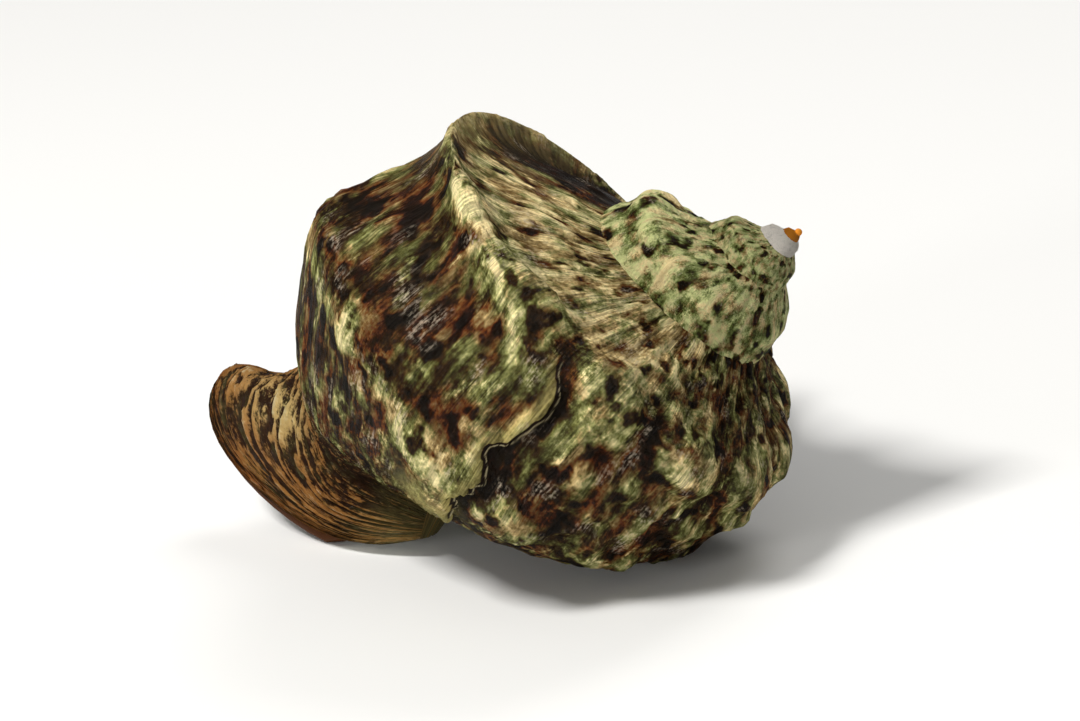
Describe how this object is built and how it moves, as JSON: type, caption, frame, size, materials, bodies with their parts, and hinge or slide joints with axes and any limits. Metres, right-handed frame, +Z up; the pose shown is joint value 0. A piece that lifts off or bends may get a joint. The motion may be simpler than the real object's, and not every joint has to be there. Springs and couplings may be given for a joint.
{
  "type": "turban shell",
  "caption": "A big mottled green turban shell, lying on its opening: a swollen last whorl with two knobbed keels, a stepped spire and a broad spout at the end of the lip.",
  "frame": {"origin": "The middle of the bounding box, on the plane that the shell lies on.", "axes": "+Z is up. The shell lies on its opening, with its spire toward +X and the broad spout of the lip toward -X. -Y faces the camera of the reference picture, and the free edge of the lip is on the +Y side."},
  "size_m": [0.1772, 0.1712, 0.1272],
  "materials": {
    "mottled_shell": "glossy, mottled olive green, brown and cream"
  },
  "bodies": {
    "root": {"turban_shell": "mottled_shell"}
  },
  "joints": []
}
